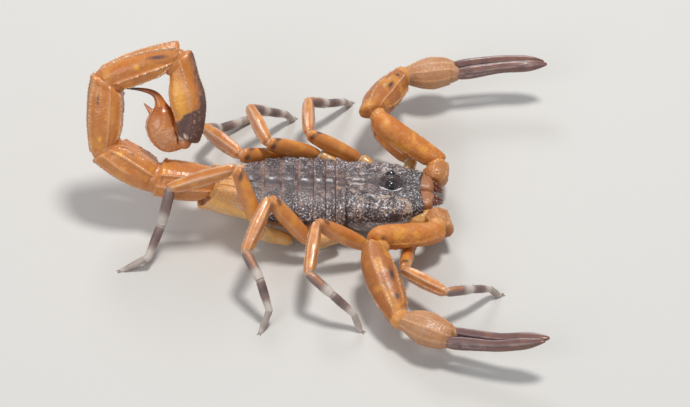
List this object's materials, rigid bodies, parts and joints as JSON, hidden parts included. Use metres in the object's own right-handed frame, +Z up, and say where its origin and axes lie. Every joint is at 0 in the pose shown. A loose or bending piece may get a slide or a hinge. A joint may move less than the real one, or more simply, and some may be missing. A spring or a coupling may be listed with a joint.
{
  "type": "scorpion",
  "caption": "Life-size still model of a scorpion, standing with its pincers spread and its tail curled over its trunk.",
  "frame": {"origin": "middle of the overall footprint, on the floor", "axes": "+X towards the head, along the trunk; +Y towards the animal's left side; +Z up"},
  "size_m": [0.04, 0.0364, 0.0152],
  "materials": {
    "trunk_plate": "dark grey-brown granular shell with tan marks, shed-light sheen on the grains",
    "tail_shell": "orange cuticle, half glossy, darker at the last segment's end",
    "limb_shell": "orange-yellow cuticle, half glossy",
    "foot": "grey cuticle with pale rings",
    "finger": "dark brown cuticle, half glossy",
    "sting_bulb": "reddish-orange glossy cuticle",
    "sting_needle": "dark red-brown glossy cuticle",
    "underside": "pale yellow cuticle",
    "eye": "black, mirror-glossy"
  },
  "bodies": {
    "root": {"carapace": "trunk_plate", "chelicera_left": "limb_shell", "chelicera_right": "limb_shell", "coxae_plate": "underside", "eye_median_left": "eye", "eye_median_right": "eye", "leg_left_1_foot": "foot", "leg_left_1_patella": "limb_shell", "leg_left_1_thigh": "limb_shell", "leg_left_2_foot": "foot", "leg_left_2_patella": "limb_shell", "leg_left_2_thigh": "limb_shell", "leg_left_3_foot": "foot", "leg_left_3_patella": "limb_shell", "leg_left_3_thigh": "limb_shell", "leg_left_4_foot": "foot", "leg_left_4_patella": "limb_shell", "leg_left_4_thigh": "limb_shell", "leg_right_1_foot": "foot", "leg_right_1_patella": "limb_shell", "leg_right_1_thigh": "limb_shell", "leg_right_2_foot": "foot", "leg_right_2_patella": "limb_shell", "leg_right_2_thigh": "limb_shell", "leg_right_3_foot": "foot", "leg_right_3_patella": "limb_shell", "leg_right_3_thigh": "limb_shell", "leg_right_4_foot": "foot", "leg_right_4_patella": "limb_shell", "leg_right_4_thigh": "limb_shell", "mesosoma_1": "trunk_plate", "mesosoma_2": "trunk_plate", "mesosoma_3": "trunk_plate", "mesosoma_4": "trunk_plate", "mesosoma_5": "trunk_plate", "mesosoma_6": "trunk_plate", "mesosoma_7": "trunk_plate", "metasoma_1": "tail_shell", "metasoma_2": "tail_shell", "metasoma_3": "tail_shell", "metasoma_4": "tail_shell", "metasoma_5": "tail_shell", "pecten_left": "underside", "pecten_right": "underside", "pedipalp_left_femur": "limb_shell", "pedipalp_left_hand": "limb_shell", "pedipalp_left_movable_finger": "finger", "pedipalp_left_patella": "limb_shell", "pedipalp_left_trochanter": "limb_shell", "pedipalp_right_femur": "limb_shell", "pedipalp_right_hand": "limb_shell", "pedipalp_right_movable_finger": "finger", "pedipalp_right_patella": "limb_shell", "pedipalp_right_trochanter": "limb_shell", "telson_aculeus": "sting_needle", "telson_vesicle": "sting_bulb"}
  },
  "joints": []
}
